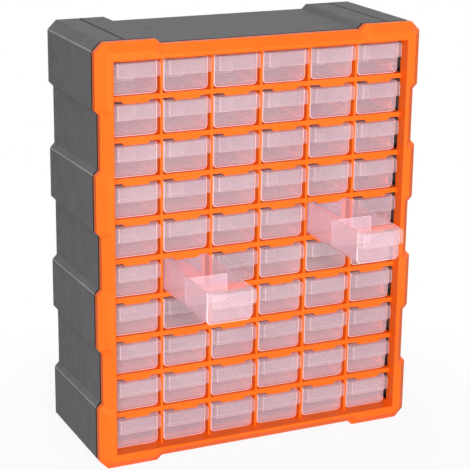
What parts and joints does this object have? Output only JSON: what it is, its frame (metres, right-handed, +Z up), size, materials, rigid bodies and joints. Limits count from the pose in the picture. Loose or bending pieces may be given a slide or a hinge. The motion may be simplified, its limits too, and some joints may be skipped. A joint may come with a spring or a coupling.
{
  "type": "parts bin cabinet",
  "caption": "Free-standing cabinet of clear sliding drawers for small parts, with a stepped dark casing, an orange front frame and loose dividers.",
  "frame": {"origin": "on the standing surface, centred on the width, halfway between the casing's back and the fronts of the two drawers that are out at rest", "axes": "+Z up, drawers open towards -Y, +X to the right seen from the front"},
  "size_m": [0.38, 0.263, 0.47],
  "materials": {
    "casing": "matte",
    "frame": "satin",
    "drawer": "frosted"
  },
  "bodies": {
    "cabinet": {"case_shell": "casing", "front_frame": "frame", "shelf_plates": "frame"},
    "drawer_r1c1": {"drawer_r1c1": "drawer"},
    "drawer_r1c2": {"drawer_r1c2": "drawer"},
    "drawer_r1c3": {"drawer_r1c3": "drawer"},
    "drawer_r1c4": {"drawer_r1c4": "drawer"},
    "drawer_r1c5": {"drawer_r1c5": "drawer"},
    "drawer_r1c6": {"drawer_r1c6": "drawer"},
    "drawer_r2c1": {"drawer_r2c1": "drawer"},
    "drawer_r2c2": {"drawer_r2c2": "drawer"},
    "drawer_r2c3": {"drawer_r2c3": "drawer"},
    "drawer_r2c4": {"drawer_r2c4": "drawer"},
    "drawer_r2c5": {"drawer_r2c5": "drawer"},
    "drawer_r2c6": {"drawer_r2c6": "drawer"},
    "drawer_r3c1": {"drawer_r3c1": "drawer"},
    "drawer_r3c2": {"drawer_r3c2": "drawer"},
    "drawer_r3c3": {"drawer_r3c3": "drawer"},
    "drawer_r3c4": {"drawer_r3c4": "drawer"},
    "drawer_r3c5": {"drawer_r3c5": "drawer"},
    "drawer_r3c6": {"drawer_r3c6": "drawer"},
    "drawer_r4c1": {"drawer_r4c1": "drawer"},
    "drawer_r4c2": {"drawer_r4c2": "drawer"},
    "drawer_r4c3": {"drawer_r4c3": "drawer"},
    "drawer_r4c4": {"drawer_r4c4": "drawer"},
    "drawer_r4c5": {"drawer_r4c5": "drawer"},
    "drawer_r4c6": {"drawer_r4c6": "drawer"},
    "drawer_r5c1": {"drawer_r5c1": "drawer"},
    "drawer_r5c2": {"drawer_r5c2": "drawer"},
    "drawer_r5c3": {"drawer_r5c3": "drawer"},
    "drawer_r5c4": {"drawer_r5c4": "drawer"},
    "drawer_r5c5": {"drawer_r5c5": "drawer"},
    "drawer_r5c6": {"drawer_r5c6": "drawer"},
    "drawer_r6c1": {"drawer_r6c1": "drawer"},
    "drawer_r6c2": {"drawer_r6c2": "drawer"},
    "drawer_r6c3": {"drawer_r6c3": "drawer"},
    "drawer_r6c4": {"drawer_r6c4": "drawer"},
    "drawer_r6c5": {"drawer_r6c5": "drawer"},
    "drawer_r6c6": {"drawer_r6c6": "drawer"},
    "drawer_r7c1": {"drawer_r7c1": "drawer"},
    "drawer_r7c2": {"drawer_r7c2": "drawer"},
    "drawer_r7c3": {"drawer_r7c3": "drawer"},
    "drawer_r7c4": {"drawer_r7c4": "drawer"},
    "drawer_r7c5": {"drawer_r7c5": "drawer"},
    "drawer_r7c6": {"drawer_r7c6": "drawer"},
    "drawer_r8c1": {"drawer_r8c1": "drawer"},
    "drawer_r8c2": {"drawer_r8c2": "drawer"},
    "drawer_r8c3": {"drawer_r8c3": "drawer"},
    "drawer_r8c4": {"drawer_r8c4": "drawer"},
    "drawer_r8c5": {"drawer_r8c5": "drawer"},
    "drawer_r8c6": {"drawer_r8c6": "drawer"},
    "drawer_r9c1": {"drawer_r9c1": "drawer"},
    "drawer_r9c2": {"drawer_r9c2": "drawer"},
    "drawer_r9c3": {"drawer_r9c3": "drawer"},
    "drawer_r9c4": {"drawer_r9c4": "drawer"},
    "drawer_r9c5": {"drawer_r9c5": "drawer"},
    "drawer_r9c6": {"drawer_r9c6": "drawer"},
    "drawer_r10c1": {"drawer_r10c1": "drawer"},
    "drawer_r10c6": {"drawer_r10c6": "drawer"},
    "drawers_r10c2_to_r10c5": {"drawers_r10c2_to_r10c5": "drawer"}
  },
  "joints": [
    {"name": "slide_r1c1", "type": "slide", "parent": "cabinet", "child": "drawer_r1c1", "axis": [0, -1, 0], "range_m": [0, 0.1155]},
    {"name": "slide_r1c2", "type": "slide", "parent": "cabinet", "child": "drawer_r1c2", "axis": [0, -1, 0], "range_m": [0, 0.1155]},
    {"name": "slide_r1c3", "type": "slide", "parent": "cabinet", "child": "drawer_r1c3", "axis": [0, -1, 0], "range_m": [0, 0.1155]},
    {"name": "slide_r1c4", "type": "slide", "parent": "cabinet", "child": "drawer_r1c4", "axis": [0, -1, 0], "range_m": [0, 0.1155]},
    {"name": "slide_r1c5", "type": "slide", "parent": "cabinet", "child": "drawer_r1c5", "axis": [0, -1, 0], "range_m": [0, 0.1155]},
    {"name": "slide_r1c6", "type": "slide", "parent": "cabinet", "child": "drawer_r1c6", "axis": [0, -1, 0], "range_m": [0, 0.1155]},
    {"name": "slide_r2c1", "type": "slide", "parent": "cabinet", "child": "drawer_r2c1", "axis": [0, -1, 0], "range_m": [0, 0.1155]},
    {"name": "slide_r2c2", "type": "slide", "parent": "cabinet", "child": "drawer_r2c2", "axis": [0, -1, 0], "range_m": [0, 0.1155]},
    {"name": "slide_r2c3", "type": "slide", "parent": "cabinet", "child": "drawer_r2c3", "axis": [0, -1, 0], "range_m": [0, 0.1155]},
    {"name": "slide_r2c4", "type": "slide", "parent": "cabinet", "child": "drawer_r2c4", "axis": [0, -1, 0], "range_m": [0, 0.1155]},
    {"name": "slide_r2c5", "type": "slide", "parent": "cabinet", "child": "drawer_r2c5", "axis": [0, -1, 0], "range_m": [0, 0.1155]},
    {"name": "slide_r2c6", "type": "slide", "parent": "cabinet", "child": "drawer_r2c6", "axis": [0, -1, 0], "range_m": [0, 0.1155]},
    {"name": "slide_r3c1", "type": "slide", "parent": "cabinet", "child": "drawer_r3c1", "axis": [0, -1, 0], "range_m": [0, 0.1155]},
    {"name": "slide_r3c2", "type": "slide", "parent": "cabinet", "child": "drawer_r3c2", "axis": [0, -1, 0], "range_m": [0, 0.1155]},
    {"name": "slide_r3c3", "type": "slide", "parent": "cabinet", "child": "drawer_r3c3", "axis": [0, -1, 0], "range_m": [0, 0.1155]},
    {"name": "slide_r3c4", "type": "slide", "parent": "cabinet", "child": "drawer_r3c4", "axis": [0, -1, 0], "range_m": [0, 0.1155]},
    {"name": "slide_r3c5", "type": "slide", "parent": "cabinet", "child": "drawer_r3c5", "axis": [0, -1, 0], "range_m": [0, 0.1155]},
    {"name": "slide_r3c6", "type": "slide", "parent": "cabinet", "child": "drawer_r3c6", "axis": [0, -1, 0], "range_m": [0, 0.1155]},
    {"name": "slide_r4c1", "type": "slide", "parent": "cabinet", "child": "drawer_r4c1", "axis": [0, -1, 0], "range_m": [0, 0.1155]},
    {"name": "slide_r4c2", "type": "slide", "parent": "cabinet", "child": "drawer_r4c2", "axis": [0, -1, 0], "range_m": [0, 0.1155]},
    {"name": "slide_r4c3", "type": "slide", "parent": "cabinet", "child": "drawer_r4c3", "axis": [0, -1, 0], "range_m": [0, 0.1155]},
    {"name": "slide_r4c4", "type": "slide", "parent": "cabinet", "child": "drawer_r4c4", "axis": [0, -1, 0], "range_m": [0, 0.1155]},
    {"name": "slide_r4c5", "type": "slide", "parent": "cabinet", "child": "drawer_r4c5", "axis": [0, -1, 0], "range_m": [0, 0.1155]},
    {"name": "slide_r4c6", "type": "slide", "parent": "cabinet", "child": "drawer_r4c6", "axis": [0, -1, 0], "range_m": [0, 0.1155]},
    {"name": "slide_r5c1", "type": "slide", "parent": "cabinet", "child": "drawer_r5c1", "axis": [0, -1, 0], "range_m": [0, 0.1155]},
    {"name": "slide_r5c2", "type": "slide", "parent": "cabinet", "child": "drawer_r5c2", "axis": [0, -1, 0], "range_m": [0, 0.1155]},
    {"name": "slide_r5c3", "type": "slide", "parent": "cabinet", "child": "drawer_r5c3", "axis": [0, -1, 0], "range_m": [0, 0.1155]},
    {"name": "slide_r5c4", "type": "slide", "parent": "cabinet", "child": "drawer_r5c4", "axis": [0, -1, 0], "range_m": [0, 0.1155]},
    {"name": "slide_r5c5", "type": "slide", "parent": "cabinet", "child": "drawer_r5c5", "axis": [0, -1, 0], "range_m": [-0.1155, 0]},
    {"name": "slide_r5c6", "type": "slide", "parent": "cabinet", "child": "drawer_r5c6", "axis": [0, -1, 0], "range_m": [0, 0.1155]},
    {"name": "slide_r6c1", "type": "slide", "parent": "cabinet", "child": "drawer_r6c1", "axis": [0, -1, 0], "range_m": [0, 0.1155]},
    {"name": "slide_r6c2", "type": "slide", "parent": "cabinet", "child": "drawer_r6c2", "axis": [0, -1, 0], "range_m": [-0.1155, 0]},
    {"name": "slide_r6c3", "type": "slide", "parent": "cabinet", "child": "drawer_r6c3", "axis": [0, -1, 0], "range_m": [0, 0.1155]},
    {"name": "slide_r6c4", "type": "slide", "parent": "cabinet", "child": "drawer_r6c4", "axis": [0, -1, 0], "range_m": [0, 0.1155]},
    {"name": "slide_r6c5", "type": "slide", "parent": "cabinet", "child": "drawer_r6c5", "axis": [0, -1, 0], "range_m": [0, 0.1155]},
    {"name": "slide_r6c6", "type": "slide", "parent": "cabinet", "child": "drawer_r6c6", "axis": [0, -1, 0], "range_m": [0, 0.1155]},
    {"name": "slide_r7c1", "type": "slide", "parent": "cabinet", "child": "drawer_r7c1", "axis": [0, -1, 0], "range_m": [0, 0.1155]},
    {"name": "slide_r7c2", "type": "slide", "parent": "cabinet", "child": "drawer_r7c2", "axis": [0, -1, 0], "range_m": [0, 0.1155]},
    {"name": "slide_r7c3", "type": "slide", "parent": "cabinet", "child": "drawer_r7c3", "axis": [0, -1, 0], "range_m": [0, 0.1155]},
    {"name": "slide_r7c4", "type": "slide", "parent": "cabinet", "child": "drawer_r7c4", "axis": [0, -1, 0], "range_m": [0, 0.1155]},
    {"name": "slide_r7c5", "type": "slide", "parent": "cabinet", "child": "drawer_r7c5", "axis": [0, -1, 0], "range_m": [0, 0.1155]},
    {"name": "slide_r7c6", "type": "slide", "parent": "cabinet", "child": "drawer_r7c6", "axis": [0, -1, 0], "range_m": [0, 0.1155]},
    {"name": "slide_r8c1", "type": "slide", "parent": "cabinet", "child": "drawer_r8c1", "axis": [0, -1, 0], "range_m": [0, 0.1155]},
    {"name": "slide_r8c2", "type": "slide", "parent": "cabinet", "child": "drawer_r8c2", "axis": [0, -1, 0], "range_m": [0, 0.1155]},
    {"name": "slide_r8c3", "type": "slide", "parent": "cabinet", "child": "drawer_r8c3", "axis": [0, -1, 0], "range_m": [0, 0.1155]},
    {"name": "slide_r8c4", "type": "slide", "parent": "cabinet", "child": "drawer_r8c4", "axis": [0, -1, 0], "range_m": [0, 0.1155]},
    {"name": "slide_r8c5", "type": "slide", "parent": "cabinet", "child": "drawer_r8c5", "axis": [0, -1, 0], "range_m": [0, 0.1155]},
    {"name": "slide_r8c6", "type": "slide", "parent": "cabinet", "child": "drawer_r8c6", "axis": [0, -1, 0], "range_m": [0, 0.1155]},
    {"name": "slide_r9c1", "type": "slide", "parent": "cabinet", "child": "drawer_r9c1", "axis": [0, -1, 0], "range_m": [0, 0.1155]},
    {"name": "slide_r9c2", "type": "slide", "parent": "cabinet", "child": "drawer_r9c2", "axis": [0, -1, 0], "range_m": [0, 0.1155]},
    {"name": "slide_r9c3", "type": "slide", "parent": "cabinet", "child": "drawer_r9c3", "axis": [0, -1, 0], "range_m": [0, 0.1155]},
    {"name": "slide_r9c4", "type": "slide", "parent": "cabinet", "child": "drawer_r9c4", "axis": [0, -1, 0], "range_m": [0, 0.1155]},
    {"name": "slide_r9c5", "type": "slide", "parent": "cabinet", "child": "drawer_r9c5", "axis": [0, -1, 0], "range_m": [0, 0.1155]},
    {"name": "slide_r9c6", "type": "slide", "parent": "cabinet", "child": "drawer_r9c6", "axis": [0, -1, 0], "range_m": [0, 0.1155]},
    {"name": "slide_r10c1", "type": "slide", "parent": "cabinet", "child": "drawer_r10c1", "axis": [0, -1, 0], "range_m": [0, 0.1155]},
    {"name": "slide_r10c6", "type": "slide", "parent": "cabinet", "child": "drawer_r10c6", "axis": [0, -1, 0], "range_m": [0, 0.1155]},
    {"name": "slide_r10c2_to_r10c5", "type": "slide", "parent": "cabinet", "child": "drawers_r10c2_to_r10c5", "axis": [0, -1, 0], "range_m": [0, 0.1155]}
  ]
}
